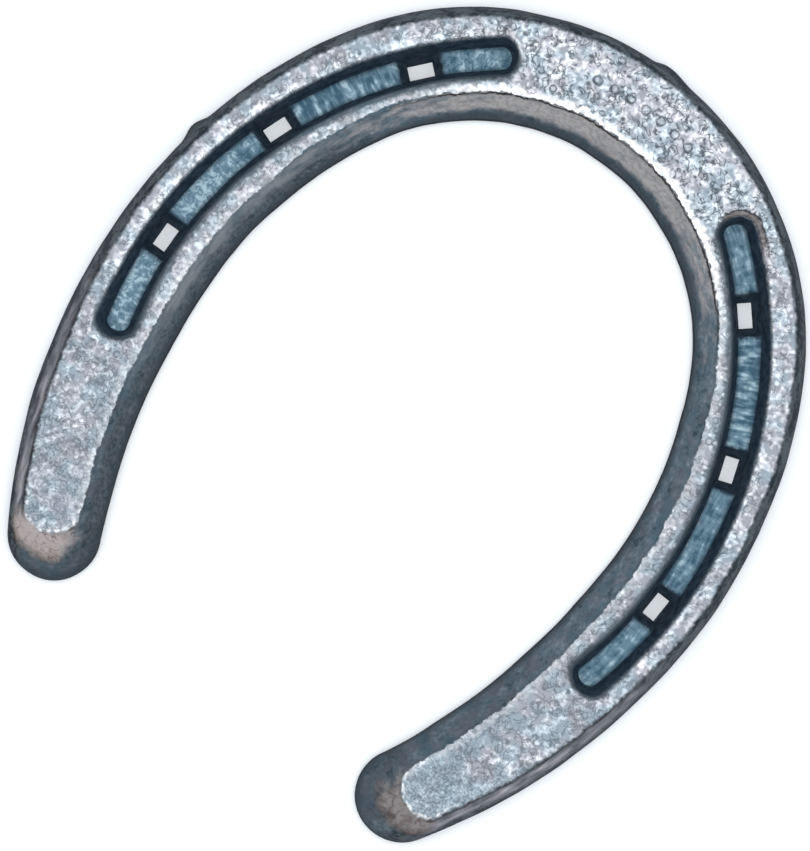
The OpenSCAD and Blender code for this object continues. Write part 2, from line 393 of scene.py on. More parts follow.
def punch_rings(grid, fixed, side):
    """Places the rings from the crease's floor down each nail hole of one branch."""
    floor_z = BAR_T - CREASE_DEPTH
    heights = np.array([floor_z, 0.85 * floor_z, 0.5 * floor_z, 0.17 * floor_z, 0.0])
    for first, angle, lean in zip(seat_starts, HOLE_ANGLES, HOLE_LEANS):
        for n, z in enumerate(heights):
            half_w, half_l = punch_size(z)
            shift = -lean * (1 - z / (BAR_T - SEAT_DEPTH))
            cols = np.arange(first + n, first + SEAT_COLS - n + 1)
            rows = np.arange(floor_row + n, ROWS - floor_row - n + 1)
            knots = [first + n, first + PUNCH_ROWS, first + SEAT_COLS - PUNCH_ROWS, first + SEAT_COLS - n]
            inner_l = min(half_l, HOLE_L / 2 + 0.03 * (PUNCH_ROWS - n))
            along = np.interp(cols, knots, [half_l, inner_l, -inner_l, -half_l])
            across = np.interp(rows, [rows[0], rows[-1]], [half_w, -half_w])
            here = np.full(len(cols), angle)
            for row, w in ((rows[0], half_w), (rows[-1], -half_w)):
                put(grid, fixed, side, cols, row, in_crease(here, w + shift, along), z)
            for col, l in ((cols[0], half_l), (cols[-1], -half_l)):
                for row, w in zip(rows, across):
                    put(grid, fixed, side, np.array([col]), row, in_crease(angle, w + shift, l)[None], z)


def fill_between(grid, fixed):
    """First guess for the free points: straight across each column between the fixed ones."""
    for i in range(COLS + 1):
        known = np.flatnonzero(fixed[i])
        free = np.flatnonzero(~fixed[i])
        for axis in range(3):
            grid[i, free, axis] = np.interp(free, known, grid[i, known, axis])


def relax(grid, fixed, rounds):
    """Spreads the free points evenly between the fixed ones, in plan."""
    free = ~fixed[1:-1, 1:-1]
    for _ in range(rounds):
        mean = (grid[:-2, 1:-1] + grid[2:, 1:-1] + grid[1:-1, :-2] + grid[1:-1, 2:]) / 4
        grid[1:-1, 1:-1][free] = mean[free]


def top_grid():
    """The outline, the bevels, the ground face, the creases and the walls of the nail holes."""
    grid = np.zeros((COLS + 1, ROWS + 1, 3))
    fixed = np.zeros((COLS + 1, ROWS + 1), bool)
    s_right = column_distances()
    for k in range(RIM_ROWS):
        rim_ring(grid, fixed, k, s_right)
    for side in (1, -1):
        for m in range(WALL_ROWS + 1):
            crease_ring(grid, fixed, m, side)
        punch_rings(grid, fixed, side)
    fill_between(grid, fixed)
    relax(grid, fixed, RELAX_ROUNDS)
    return grid


def hole_strip(row, across, s_right):
    """A row's places under one branch: in line with the nail holes, and spread evenly well past them."""
    cols = np.arange(tip_start_col + 1)
    even = half_web(s_right) * (1 - 2 * row / ROWS)
    angles = np.interp(cols, *seat_anchors(BAR_T))
    spots = in_crease(angles, across)
    for end, ease in ((straight_start, straight_start - cols), (straight_end, cols - straight_end)):
        _, out = bar_place(spots[end])
        near = 1 - smooth_step(ease / EASE_COLS)
        past = ease > 0
        spots[past] = off_line(s_right, blend(even, out, near))[past]
    return spots


def bottom_grid(top):
    """The hoof face: the same grid, flat, between the outline and the nail holes."""
    grid = np.zeros_like(top)
    fixed = np.zeros(top.shape[:2], bool)
    fixed[(0, COLS), :] = True
    fixed[:, (0, ROWS)] = True
    for first, side in product(seat_starts, (1, -1)):
        cols = HALF + side * np.arange(first + PUNCH_ROWS, first + SEAT_COLS - PUNCH_ROWS + 1)
        rows = np.arange(hole_row, ROWS - hole_row + 1)
        fixed[np.ix_(cols, rows[[0, -1]])] = True
        fixed[np.ix_(cols[[0, -1]], rows)] = True
    grid[fixed] = top[fixed]
    shared = fixed.copy()
    s_right = column_distances()
    strips = ((hole_row, HOLE_W / 2), (ROWS - hole_row, -HOLE_W / 2))
    for side, (row, across) in product((1, -1), strips):
        cols = np.arange(tip_start_col - FREE_COLS)
        free = ~fixed[HALF + side * cols, row]
        put(grid, fixed, side, cols[free], row, hole_strip(row, across, s_right)[cols[free]], 0.0)
    fill_between(grid, fixed)
    relax(grid, fixed, RELAX_ROUNDS)
    grid[~shared, 2] = 0.0
    return grid, shared


def hole_cells():
    """The grid cells that the nail holes take out."""
    cells = np.zeros((COLS, ROWS), bool)
    for first in seat_starts:
        a, b = first + PUNCH_ROWS, first + SEAT_COLS - PUNCH_ROWS
        cells[HALF + a:HALF + b, hole_row:ROWS - hole_row] = True
        cells[HALF - b:HALF - a, hole_row:ROWS - hole_row] = True
    return cells


def surface_places(points):
    """Where each point lies: along the bar, in from the ground face's edges, and in the crease."""
    s, out = bar_place(points)
    from_outer = rim_out(s, RIM[-1], 1) - out
    from_inner = out - rim_out(s, RIM[-1], 0)
    inset = np.minimum(from_outer, from_inner)
    tip_at, tip_l = heel_tip(RIM[-1])
    past = np.abs(s) - tip_at
    v = (from_inner - from_outer) / (from_inner + from_outer)
    tip_in = (1 - np.hypot(np.maximum(past, 0) / tip_l, v)) * tip_l
    inset = np.where(past > 0, np.minimum(inset, tip_in), inset)

    x, y = np.abs(points[..., 0]) - CREASE_CENTRE[0], points[..., 1] - CREASE_CENTRE[1]
    across, angle = np.hypot(x, y) - CREASE_R, np.arctan2(y, x)
    beyond = np.maximum(0, np.maximum(angle - CREASE_TOE, CREASE_HEEL - angle)) * CREASE_R
    in_mouth = CREASE_MOUTH_W / 2 - np.hypot(across, beyond * CREASE_MOUTH_W / 2 / CREASE_MOUTH_TIP)
    from_hole = np.min([np.abs(angle - a) for a in HOLE_ANGLES], axis=0) * CREASE_R
    return {
        "along": s,
        "from_inner": from_inner,
        "inset": np.minimum(inset, -in_mouth),
        "in_mouth": in_mouth,
        "across": across,
        "from_hole": from_hole,
        "in_mark": MARK_D / 2 - np.min(mark_gaps(points), axis=0),
    }


def mark_gaps(points):
    """Distance of the points from the middle of each round punch mark on the toe."""
    row_r = ARCS[0][1] + MARK_OUT
    angles = (np.arange(MARK_COUNT) - (MARK_COUNT - 1) / 2) * MARK_PITCH / row_r
    x, y = points[:, 0], points[:, 1] - TOE_Y + ARCS[0][1]
    return [np.hypot(x - row_r * math.sin(a), y - row_r * math.cos(a)) for a in angles]


def toe_marks(points):
    """Depth of the row of round punch marks, each with a low raised edge."""
    depth = np.zeros(len(points))
    for gap in mark_gaps(points):
        depth += MARK_DEPTH * smooth_step(1.15 * (1 - gap / (MARK_D / 2)))
        depth -= 0.05 * np.exp(-((gap - MARK_D / 2 - 0.1) / 0.22) ** 2)
    return depth


def relief(points, places):
    """How far each point stands out from the plain shape: hammer unevenness, pits, marks and lips."""
    z, s, in_mouth = points[:, 2], np.abs(places["along"]), places["in_mouth"]
    ground = smooth_step((places["inset"] + 0.3) / 0.8) * (z > 7)
    uneven = 0.05 * noise(points, 7, 3.3) + 0.035 * noise(points, 2.6, 7.9)
    pitted = 0.03 * noise(points, 3.1, 11.7) + 0.02 * noise(points, 1.3, 13.1)
    pitted -= 0.10 * smooth_step((noise(points, 2.0, 19.9) - 0.42) / 0.3)
    height = blend(uneven, pitted, ground)
    # A lip pushed up round the toe end of the crease, and a soft edge round its heel end
    lip = np.exp(-((in_mouth + 0.75) / 0.4) ** 2) * smooth_step((44 - s) / 14) * smooth_step((s - 15) / 5)
    sag = smooth_step((in_mouth + 1.2) / 1.2) * smooth_step((s - 101) / 6)
    height += LIP_RISE * lip * ground - SAG_DEPTH * sag * np.clip((z - 6) / 2, 0, 1)
    height -= toe_marks(points) * ground
    # The hoof face is only worn back, so that the shoe still lies flat
    return np.where(z == 0, -HOOF_FACE_WEAR * np.abs(height), height)


def build_shoe():
    """One closed mesh from the top and bottom grids, which share the outline and the nail holes' edges."""
    top = top_grid()
    bottom, shared = bottom_grid(top)
    numbers = np.arange(top.shape[0] * top.shape[1]).reshape(top.shape[:2])
    under = np.where(shared, numbers, 0)
    under[~shared] = numbers.size + np.arange((~shared).sum())
    keep = ~hole_cells()
    quads = []
    for n, flip in ((numbers, False), (under, True)):
        q = np.stack([n[:-1, :-1], n[:-1, 1:], n[1:, 1:], n[1:, :-1]], -1)[keep]
        quads.append(q[:, ::-1] if flip else q)
    points = np.concatenate([top.reshape(-1, 3), bottom[~shared]])
    quads = np.concatenate(quads)
    used, packed = np.unique(quads, return_inverse=True)
    points = points[used]
    mesh = bpy.data.meshes.new("horseshoe_forged")
    mesh.from_pydata(points * MM, [], packed.reshape(quads.shape).tolist())
    mesh.update()
    normals = np.zeros(len(points) * 3)
    mesh.vertices.foreach_get("normal", normals)
    places = surface_places(points)
    height = relief(points, places)
    points = points + height[:, None] * normals.reshape(-1, 3)
    points[:, 2] = np.maximum(points[:, 2], 0)
    mesh.vertices.foreach_set("co", (points * MM).ravel())
    for name, values in places.items():
        mesh.attributes.new(name, "FLOAT", "POINT").data.foreach_set("value", values)
    mesh.update()
    mesh.shade_smooth()
    obj = bpy.data.objects.new("horseshoe_forged", mesh)
    bpy.context.scene.collection.objects.link(obj)
    return obj


# ---------------------------------------------------------------- steel
# Colours are linear. Where there are two or three, they run from dark to light.
TEAL_STEEL = ((0.20, 0.238, 0.272), (0.333, 0.382, 0.42), (0.535, 0.592, 0.635))
LILAC_STEEL = ((0.229, 0.234, 0.263), (0.382, 0.38, 0.41), (0.60, 0.593, 0.62))
SMOOTH_STEEL = ((0.085, 0.11, 0.13), (0.17, 0.213, 0.245), (0.29, 0.345, 0.38))
HOOF_FACE_STEEL = ((0.12, 0.14, 0.155), (0.21, 0.235, 0.255), (0.32, 0.345, 0.365))
FLECK = (0.75, 0.77, 0.80)
# Painted highlight for the ground face's edges
EDGE_HIGHLIGHT = (0.77, 0.76, 0.765)
PIT_EDGE = (0.035, 0.045, 0.055)
SPECK = (0.045, 0.05, 0.055)
DIMPLE = (0.40, 0.435, 0.48)
DIMPLE_EDGE = (0.05, 0.06, 0.075)

# Painted slate shade beside the crease's mouth
SHOULDER_SHADE = (0.055, 0.07, 0.085)
LIP_BROWN = ((0.06, 0.05, 0.048), (0.11, 0.096, 0.092))
LIP_OUTLINE = (0.02, 0.02, 0.022)
# Blued steel and painted shade for the crease's steep walls and nail seats
WALL_BLUE_AND_SHADE = ((0.014, 0.026, 0.041), (0.031, 0.048, 0.068))
WALL_EDGE = (0.06, 0.078, 0.095)
FLOOR_TEAL = ((0.050, 0.108, 0.152), (0.132, 0.22, 0.28), (0.38, 0.51, 0.58))

SCALE_BLUE = ((0.031, 0.049, 0.060), (0.078, 0.106, 0.128), (0.145, 0.172, 0.20))
SCALE_GREYER = (0.092, 0.098, 0.118)
SCALE_GREENER = (0.052, 0.088, 0.115)
LEFT_GREY = ((0.026, 0.033, 0.039), (0.066, 0.076, 0.086))
LEFT_PALE = (0.18, 0.19, 0.205)
HEEL_SHADE = (0.018, 0.022, 0.026)
TOE_BROWN = ((0.225, 0.212, 0.212), (0.30, 0.286, 0.286))
OUTER_BLACK = ((0.008, 0.010, 0.013), (0.066, 0.075, 0.081))
MAUVE = ((0.22, 0.215, 0.235), (0.40, 0.37, 0.38))
TAN_LEFT = ((0.115, 0.075, 0.058), (0.22, 0.185, 0.17), (0.315, 0.272, 0.264))
TAN_RIGHT = ((0.062, 0.048, 0.044), (0.12, 0.10, 0.097), (0.185, 0.168, 0.168))
TAN_SCUFF = (0.055, 0.042, 0.04)
# Painted shade at the bevel's foot, deepest next to the floor
FOOT_SHADE = (0.026, 0.033, 0.041)
FOOT_DEEP_SHADE = (0.006, 0.007, 0.009)
EDGE_LINE = (0.010, 0.009, 0.011)


class Graph:
    """Short calls for making shader nodes. Lengths in it are millimetres."""

    def __init__(self, name):
        self.material = bpy.data.materials.new(name)
        self.material.use_nodes = True
        self.tree = self.material.node_tree
        self.shader = self.tree.nodes["Principled BSDF"]
        place = self.tree.nodes.new("ShaderNodeTexCoord").outputs["Object"]
        self.place = self.vector("SCALE", place, scale=1 / MM)
        self.z = self.split(self.place, "Z")
        self.along = self.attribute("along")
        self.distance = self.math("ABSOLUTE", self.along)
        self.across = self.attribute("across")
        self.from_inner = self.attribute("from_inner")
        self.inset = self.attribute("inset")
        self.in_mouth = self.attribute("in_mouth")

    def set(self, socket, value):
        if isinstance(value, bpy.types.NodeSocket):
            self.tree.links.new(value, socket)
        else:
            socket.default_value = value

    def vector(self, operation, a, b=None, scale=None):
        node = self.tree.nodes.new("ShaderNodeVectorMath")
        node.operation = operation
        self.set(node.inputs[0], a)
        if b is not None:
            self.set(node.inputs[1], b)
        if scale is not None:
            node.inputs["Scale"].default_value = scale
        return node.outputs["Vector"]

    def split(self, vector, axis):
        node = self.tree.nodes.new("ShaderNodeSeparateXYZ")
        self.set(node.inputs[0], vector)
        return node.outputs[axis]

    def attribute(self, name):
        node = self.tree.nodes.new("ShaderNodeAttribute")
        node.attribute_name = name
        return node.outputs["Fac"]

    def math(self, operation, a, b=0.0):
        node = self.tree.nodes.new("ShaderNodeMath")
        node.operation = operation
        self.set(node.inputs[0], a)
        self.set(node.inputs[1], b)
        return node.outputs[0]

    def add(self, *values):
        return reduce(lambda a, b: self.math("ADD", a, b), values)

    def less(self, value, taken):
        return self.math("SUBTRACT", value, taken)

    def all_of(self, *shares):
        """The product of shares from 0 to 1, which is high only where all of them are."""
        return reduce(lambda a, b: self.math("MULTIPLY", a, b), shares)

    def largest(self, *values):
        return reduce(lambda a, b: self.math("MAXIMUM", a, b), values)

    def ramp(self, value, low, high, at_low=0.0, at_high=1.0):
        """Goes smoothly from at_low to at_high as the value goes from low to high."""
        node = self.tree.nodes.new("ShaderNodeMapRange")
        node.interpolation_type = "SMOOTHSTEP"
        for socket, v in zip(node.inputs, (value, low, high, at_low, at_high)):
            self.set(socket, v)
        return node.outputs[0]

    def near(self, value, middle, width):
        """1 where the value is at the middle, falling to 0 at the given width from it."""
        return self.ramp(self.math("ABSOLUTE", self.less(value, middle)), 0.0, width, 1.0, 0.0)

    def by_side(self, left, right):
        """One value on the left branch and another on the right."""
        return self.ramp(self.along, -1.0, 1.0, left, right)

    def spread(self, noise, low, high):
        """Stretches a noise, which hardly leaves 0.3 to 0.7, over a range."""
        return self.ramp(noise, 0.3, 0.7, low, high)

    def mix(self, share, a, b):
        node = self.tree.nodes.new("ShaderNodeMix")
        node.data_type = "RGBA"
        for key, v in (("Factor_Float", share), ("A_Color", a), ("B_Color", b)):
            socket = next(i for i in node.inputs if i.identifier == key)
            self.set(socket, v if isinstance(v, (bpy.types.NodeSocket, float)) else (*v, 1.0))
        return next(o for o in node.outputs if o.identifier == "Result_Color")

    def two_tone(self, noise, dark, light):
        return self.mix(self.ramp(noise, 0.35, 0.65), dark, light)

    def shades(self, value, dark, middle, light):
        """Goes from dark over middle to light as the value goes from 0 over 0.5 to 1."""
        lower = self.mix(self.ramp(value, 0.0, 0.5), dark, middle)
        return self.mix(self.ramp(value, 0.5, 1.0), lower, light)

    def blend(self, share, a, b):
        node = self.tree.nodes.new("ShaderNodeMix")
        for key, v in (("Factor_Float", share), ("A_Float", a), ("B_Float", b)):
            self.set(next(i for i in node.inputs if i.identifier == key), v)
        return next(o for o in node.outputs if o.identifier == "Result_Float")

    def noise(self, size, detail=2.0, rough=0.5, twist=0.0, shift=0.0, place=None):
        node = self.tree.nodes.new("ShaderNodeTexNoise")
        moved = self.vector("ADD", place or self.place, (shift, shift * 1.7, shift * 0.6))
        self.set(node.inputs["Vector"], moved)
        node.inputs["Scale"].default_value = 1 / size
        node.inputs["Detail"].default_value = detail
        node.inputs["Roughness"].default_value = rough
        node.inputs["Distortion"].default_value = twist
        return node.outputs["Fac"]

    def spots(self, size, shift=0.0):
        """Distance to the nearest of a scatter of points, as a share of their spacing."""
        node = self.tree.nodes.new("ShaderNodeTexVoronoi")
        self.set(node.inputs["Vector"], self.vector("ADD", self.place, (shift, shift, shift)))
        node.inputs["Scale"].default_value = 1 / size
        return node.outputs["Distance"]

    def veins(self, size, width, shift):
        """Wandering lines, where a noise passes its middle level."""
        return self.near(self.noise(size, 1.0, 0.5, twist=0.8, shift=shift), 0.5, width)

    def patches(self, size, low, high, shift):
        """Soft-edged patches of a noise, from 0 to 1."""
        return self.ramp(self.noise(size, 1.0, shift=shift), low, high)

    def drawn(self, length, width, detail, shift):
        """Noise drawn out along the bar, or across it where the width is the larger."""
        node = self.tree.nodes.new("ShaderNodeCombineXYZ")
        self.set(node.inputs[0], self.math("DIVIDE", self.along, length))
        self.set(node.inputs[1], self.math("DIVIDE", self.from_inner, width))
        return self.noise(1.0, detail, 0.55, shift=shift, place=node.outputs[0])


# ---------------------------------------------------------------- the ground face's steel
def ground_face(g):
    """Tumbled bright steel: pale cells, hazy patches and thin dark pit edges. Returns colour and height."""
    grain = g.noise(0.9, 0.0)
    cells = g.noise(1.5, 1.0, 0.4, twist=0.6, shift=31)
    haze = g.noise(4.5, 1.0, shift=57)
    # Fine scratches: every way at the toe and the heels, and across the narrow strips beside the crease
    beside = g.all_of(g.ramp(g.distance, 30.0, 50.0), g.ramp(g.distance, 112.0, 100.0))
    scratch = g.blend(beside, g.noise(0.42, 0.0, shift=14), g.drawn(0.42, 2.2, 0.0, 61))
    value = g.add(g.spread(grain, -0.28, 0.28), g.spread(cells, 0.20, 0.84))
    value = g.add(value, g.ramp(haze, 0.35, 0.65, -0.10, 0.10), g.spread(scratch, -0.14, 0.14))
    value = g.add(g.less(value, ground_dullness(g)), ground_brightness(g))
    teal, lilac = g.shades(value, *TEAL_STEEL), g.shades(value, *LILAC_STEEL)
    colour = g.mix(g.patches(3.6, 0.38, 0.62, 90), teal, lilac)
    fleck = g.all_of(g.ramp(g.spots(1.9, 8.0), 0.24, 0.10), g.ramp(g.distance, 98.0, 108.0, 0.5, 0.1))
    colour = g.mix(fleck, colour, FLECK)
    pits = pit_edges(g)
    colour = g.mix(g.all_of(pits, g.ramp(g.distance, 24.0, 44.0, 0.85, 0.6)), colour, PIT_EDGE)
    colour = heel_patch(g, colour, haze, scratch, cells)
    # Painted highlight along the ground face's edges
    colour = painted_edge_highlight(g, colour, grain, cells)
    colour = punch_mark_shade(g, colour, grain)
    height = g.add(g.all_of(grain, 0.05), g.all_of(cells, 0.08))
    return colour, g.less(height, g.all_of(pits, 0.02))


def ground_dullness(g):
    """Duller along the branches and most at the heels, and duller towards both edges."""
    branch = g.add(g.ramp(g.distance, 22.0, 40.0, 0.09, 0.24), g.ramp(g.distance, 104.0, 120.0, 0.0, 0.13))
    outer_edge = g.all_of(g.by_side(0.30, 0.14), g.near(g.from_inner, 13.6, 3.4))
    inner_edge = g.all_of(g.ramp(g.along, 44.0, 56.0, 0.10, 0.32), g.ramp(g.from_inner, 5.0, 3.5))
    return g.add(branch, g.largest(outer_edge, inner_edge))


def ground_brightness(g):
    """A painted highlight along the crease's outer side, and brighter on the outer part of the left branch.
    """
    # Painted highlight beside the crease's outer side
    rim = g.all_of(g.near(g.in_mouth, -0.75, 1.1), g.ramp(g.across, 0.0, 2.0))
    rim = g.all_of(rim, g.ramp(g.distance, 112.0, 100.0))
    left = g.all_of(g.ramp(g.along, -58.0, -72.0), g.ramp(g.along, -112.0, -96.0))
    left = g.all_of(left, g.ramp(g.from_inner, 5.0, 8.0), 0.11)
    return g.add(g.all_of(rim, g.by_side(0.32, 0.14)), left)


def pit_edges(g):
    """Thin dark curls and rings round shallow pits, denser in patches and fainter near the outer edge."""
    curl = g.all_of(g.veins(1.6, 0.075, 83), g.patches(2.6, 0.46, 0.55, 12))
    loop = g.all_of(g.veins(1.3, 0.085, 44), g.patches(2.2, 0.49, 0.56, 71))
    ring = g.all_of(g.near(g.spots(2.1, 5.0), 0.27, 0.13), g.patches(2.9, 0.52, 0.60, 23))
    crack = g.all_of(g.veins(3.4, 0.03, 27), g.ramp(g.distance, 102.0, 112.0, 0.0, 0.7))
    off_edge = g.math("ABSOLUTE", g.less(g.from_inner, 13.7))
    return g.all_of(g.largest(curl, loop, ring, crack), g.ramp(off_edge, 0.4, 2.4, 0.3, 1.0))


def heel_patch(g, colour, haze, scratch, cells):
    """The last of each heel is a greyer, smoother patch."""
    at_heel = g.ramp(g.add(g.distance, g.ramp(haze, 0.35, 0.65, -5.0, 5.0)), 134.0, 136.0)
    speckle = g.add(g.spread(scratch, 0.0, 0.55), g.spread(cells, 0.0, 0.45))
    return g.mix(g.all_of(at_heel, g.by_side(0.35, 0.75)), colour, g.shades(speckle, *SMOOTH_STEEL))


def painted_edge_highlight(g, colour, grain, cells):
    """Painted highlight on the ground face's inner edge round the toe, and on its edge at the heels."""
    toe_edge = g.ramp(g.add(g.from_inner, g.spread(cells, -0.45, 0.45)), 1.5, 0.7)
    toe_edge = g.all_of(toe_edge, g.ramp(g.distance, 20.0, 48.0, 1.0, 0.2))
    heel_edge = g.all_of(g.ramp(g.distance, 136.0, 144.0), g.ramp(g.inset, 0.7, 0.3))
    heel_edge = g.all_of(heel_edge, g.ramp(grain, 0.4, 0.6, 0.05, 0.5))
    highlit = g.largest(toe_edge, heel_edge)
    return g.mix(g.all_of(highlit, g.ramp(grain, 0.35, 0.55, 0.5, 0.9)), colour, EDGE_HIGHLIGHT)


def punch_mark_shade(g, colour, grain):
    """Punch marks: a dark edge round a smoother grey dimple."""
    in_mark = g.add(g.attribute("in_mark"), g.spread(grain, -0.10, 0.10))
    colour = g.mix(g.ramp(in_mark, 0.0, 0.3, 0.0, 0.5), colour, DIMPLE)
    return g.mix(g.all_of(g.near(in_mark, 0.05, 0.36), 0.8), colour, DIMPLE_EDGE)


def crease_shoulder(g, colour):
    """Edge round the crease: painted slate shade along its inner side and its heel end, brown at its toe
    end.
    """
    cloud = g.noise(1.3, 2.0, shift=29)
    # Painted slate shade beside the mouth, along its inner side and its heel end
    heel_end = g.ramp(g.distance, 104.0, 112.0, 0.0, 0.9)
    inner_side = g.ramp(g.across, 1.0, -1.0, 0.0, 0.8)
    beside = g.ramp(g.add(g.in_mouth, g.spread(cloud, -0.2, 0.2)), -1.25, -0.45)
    colour = g.mix(g.all_of(beside, g.largest(heel_end, inner_side)), colour, SHOULDER_SHADE)
    # The brown lip has a dark line along its outside
    toe_end = g.all_of(g.ramp(g.distance, 34.0, 27.0), g.ramp(g.across, -2.8, -0.5))
    toe_end = g.all_of(toe_end, g.by_side(0.3, 1.0))
    lip = g.ramp(g.near(g.in_mouth, -0.55, 0.85), 0.1, 0.6)
    colour = g.mix(g.all_of(lip, toe_end, 0.85), colour, g.two_tone(cloud, *LIP_BROWN))
    outline = g.near(g.add(g.in_mouth, g.spread(cloud, -0.15, 0.15)), -1.15, 0.38)
    return g.mix(g.all_of(outline, toe_end, 0.9), colour, LIP_OUTLINE)


def hoof_face(g):
    """The flat face against the hoof: plain grey steel with soft clouds and dark specks."""
    cloud = g.noise(6.0, 3.0, 0.6, shift=47)
    grain = g.noise(1.1, 2.0, shift=52)
    value = g.add(g.spread(cloud, 0.0, 0.6), g.spread(grain, 0.0, 0.4))
    speck = g.all_of(g.ramp(g.spots(2.3, 4.0), 0.20, 0.10), g.patches(3.0, 0.46, 0.58, 18), 0.7)
    return g.mix(speck, g.shades(value, *HOOF_FACE_STEEL), SPECK)


# ---------------------------------------------------------------- the bevels' scale
def bevel_scale(g):
    """Blue-black forging scale, with brown at the toe and the heels, and painted shade towards the bevels'
    foot. Returns colour and height.
    """
    cloud = g.noise(3.0, 3.0, 0.6, shift=19)
    fine = g.noise(0.8, 2.0, 0.55, shift=41)
    streaks = g.drawn(4.5, 0.9, 2.0, 67)
    inner = g.ramp(g.from_inner, 0.0, -0.1)
    outer = g.ramp(g.from_inner, 8.0, 10.0)
    colour = blue_scale(g, cloud, fine, inner)
    colour = inner_bevel_tones(g, colour, cloud, fine, streaks, inner)
    colour = outer_bevel_tones(g, colour, fine, streaks, outer)
    colour = heel_crescent(g, colour, cloud, fine)
    colour = bevel_edges(g, colour, fine, streaks, outer)
    return colour, g.all_of(fine, 0.03)


def blue_scale(g, cloud, fine, inner):
    """Mottled scale with greyer and greener patches, darker on the left's inner bevel and at the heels."""
    mottled = g.add(g.spread(cloud, 0.0, 0.6), g.spread(fine, 0.0, 0.4))
    colour = g.shades(mottled, *SCALE_BLUE)
    colour = g.mix(g.all_of(g.patches(2.8, 0.46, 0.60, 5), 0.55), colour, SCALE_GREYER)
    colour = g.mix(g.all_of(g.patches(3.7, 0.50, 0.62, 35), 0.5), colour, SCALE_GREENER)
    left = g.all_of(inner, g.ramp(g.along, -50.0, -62.0), g.ramp(g.from_inner, -0.8, -1.6), 0.55)
    colour = g.mix(left, colour, g.two_tone(fine, *LEFT_GREY))
    heel = g.add(g.ramp(g.distance, 108.0, 128.0, 0.0, 0.16), g.ramp(g.distance, 143.0, 147.0, 0.0, 0.2))
    return g.mix(heel, colour, HEEL_SHADE)


def inner_bevel_tones(g, colour, cloud, fine, streaks, inner):
    """The inner bevel's upper part: paler on the left, and brown-grey round the toe, ending in streaks."""
    left = g.all_of(inner, g.ramp(g.along, -48.0, -60.0), g.ramp(g.along, -122.0, -100.0))
    pale = g.all_of(left, g.ramp(g.z, 5.4, 6.8), g.ramp(streaks, 0.35, 0.6, 0.2, 0.75))
    colour = g.mix(pale, colour, LEFT_PALE)
    # The brown ends sooner on the right
    far = g.add(g.distance, g.ramp(g.along, 14.0, 24.0, 0.0, 14.0))
    fading = g.add(g.ramp(far, 20.0, 90.0, 1.0, -0.2), g.spread(streaks, -0.3, 0.3))
    upper = g.ramp(g.add(g.z, g.spread(cloud, -0.4, 0.4)), 4.2, 5.4)
    brown = g.all_of(inner, upper, g.ramp(fading, 0.16, 1.06))
    return g.mix(brown, colour, g.two_tone(fine, *TOE_BROWN))


def outer_bevel_tones(g, colour, fine, streaks, outer):
    """The outer bevel is nearly black, and turns mauve towards the heels."""
    blotch = g.add(g.drawn(3.5, 1.2, 2.0, 53), g.spread(fine, -0.09, 0.09))
    black = g.mix(g.ramp(blotch, 0.37, 0.63), *OUTER_BLACK)
    colour = g.mix(g.all_of(outer, g.ramp(g.along, -96.0, -76.0, 0.97, 0.80)), colour, black)
    mauve = g.all_of(outer, g.ramp(g.distance, 92.0, 124.0), g.near(g.inset, -1.25, 1.35))
    mauve = g.all_of(mauve, g.ramp(streaks, 0.30, 0.55, 0.35, 1.0), g.by_side(0.68, 1.0))
    return g.mix(mauve, colour, g.mix(g.ramp(streaks, 0.5, 0.7), *MAUVE))


def heel_crescent(g, colour, cloud, fine):
    """Rolled heels: a tan crescent behind the ground face, paler on the left, with dark scuffs."""
    high = g.ramp(g.add(g.z, g.spread(cloud, -0.3, 0.3)), 5.3, 6.5)
    outward = g.ramp(g.add(g.from_inner, g.spread(cloud, -1.0, 1.0)), -1.5, 3.0)
    crescent = g.all_of(g.ramp(g.distance, 143.5, 147.0), high, outward)
    value = g.add(g.ramp(g.z, 5.4, 7.2, 0.0, 0.75), g.spread(fine, 0.0, 0.35))
    left = g.shades(value, *TAN_LEFT)
    right = g.shades(g.add(value, g.spread(cloud, -0.35, 0.2)), *TAN_RIGHT)
    scuff = g.all_of(g.veins(2.2, 0.07, 9), g.patches(2.4, 0.42, 0.55, 88), 0.65)
    return g.mix(crescent, colour, g.mix(scuff, g.mix(g.by_side(0.0, 1.0), left, right), TAN_SCUFF))


def bevel_edges(g, colour, fine, streaks, outer):
    """Painted shade darkens the bevel towards its foot, and a broken dark line runs where the bevel meets
    the ground face.
    """
    # The painted shade at the foot reaches higher at the toe and on the left
    toe = g.ramp(g.distance, 24.0, 50.0, -1.1, 0.0)
    left = g.ramp(g.along, -62.0, -50.0, -0.5, 0.0)
    colour = g.mix(g.ramp(g.add(g.z, toe, left), 4.7, 2.2, 0.0, 0.75), colour, FOOT_SHADE)
    colour = g.mix(g.ramp(g.z, 2.6, 1.4, 0.0, 0.8), colour, FOOT_DEEP_SHADE)
    worn = g.add(g.inset, g.spread(fine, -0.12, 0.12))
    on_inner = g.all_of(g.ramp(g.from_inner, 6.0, 4.0), g.ramp(g.distance, 34.0, 52.0, 1.0, 0.25))
    on_outer = g.all_of(outer, g.ramp(g.distance, 96.0, 120.0, 0.1, 0.6))
    line = g.all_of(g.near(worn, -0.28, 0.38), g.largest(on_inner, on_outer))
    return g.mix(g.all_of(line, g.ramp(streaks, 0.38, 0.50, 0.7, 1.0)), colour, EDGE_LINE)


